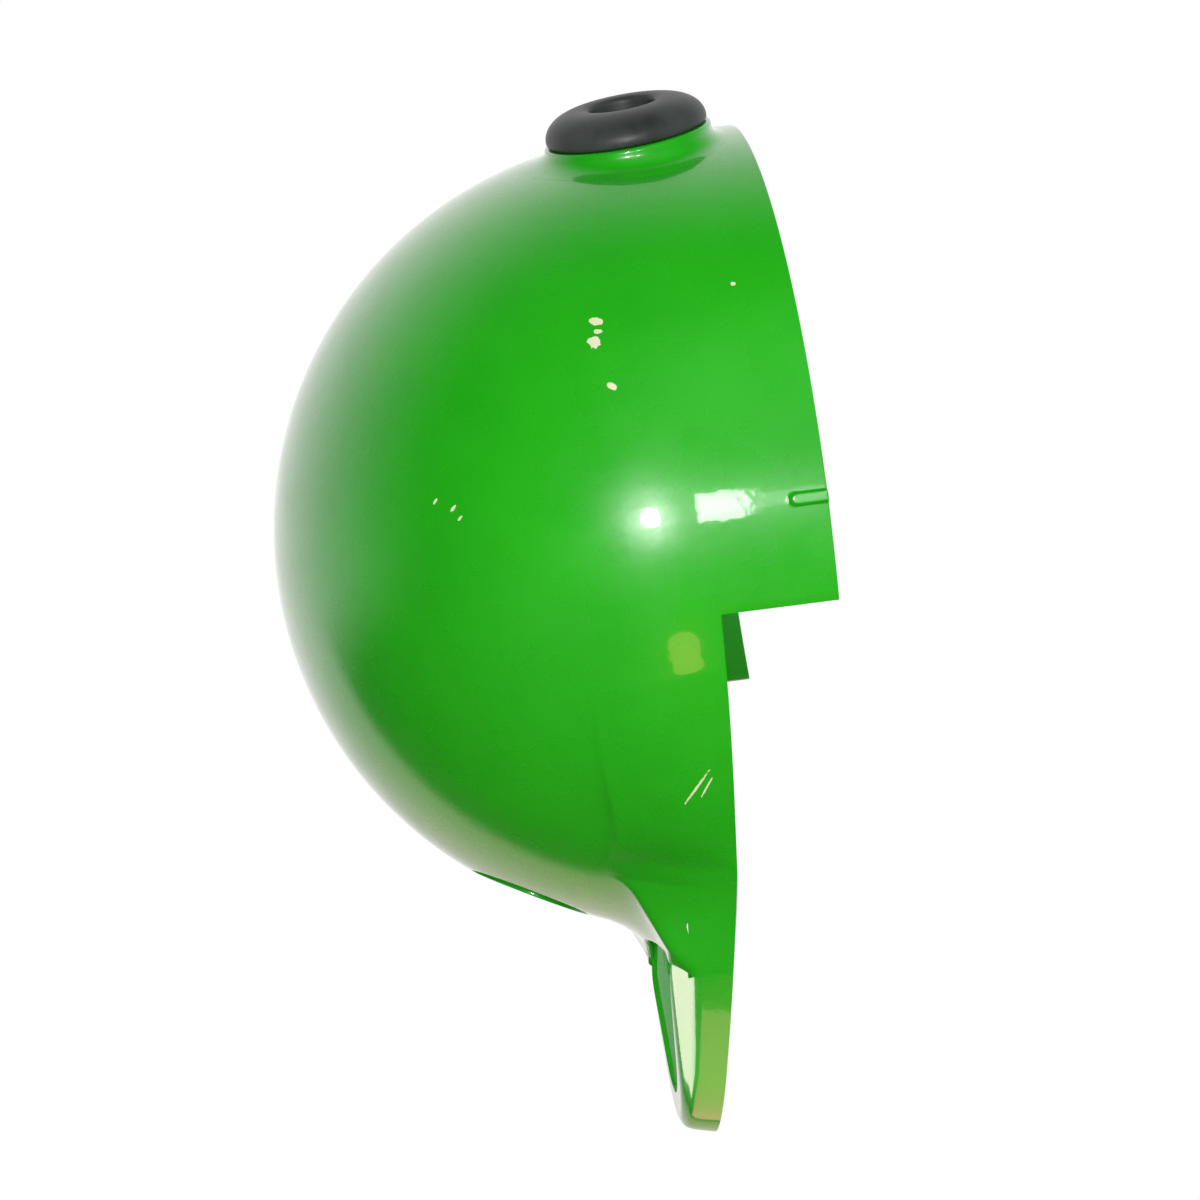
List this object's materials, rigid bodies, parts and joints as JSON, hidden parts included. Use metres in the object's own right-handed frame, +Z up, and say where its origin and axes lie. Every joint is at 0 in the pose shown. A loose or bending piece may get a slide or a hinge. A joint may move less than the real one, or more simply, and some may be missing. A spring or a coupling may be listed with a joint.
{
  "type": "headlamp shell",
  "caption": "Thin painted domed shell with a short collar round its mouth, a pointed tail with an open window, and a rubber cable grommet in a raised neck.",
  "frame": {"origin": "centre of the dome, in the plane of the lower rim, where the shell butts against what carries it", "axes": "+X out of the mouth, +Z up, away from the tail, +Y to the left when looking out of the mouth"},
  "size_m": [0.1016, 0.1612, 0.2062],
  "materials": {
    "paint": "gloss",
    "rubber": "satin"
  },
  "bodies": {
    "root": {"dome_shell": "paint", "tail_shroud": "paint", "grommet_neck": "paint", "cable_grommet": "rubber"}
  },
  "joints": []
}
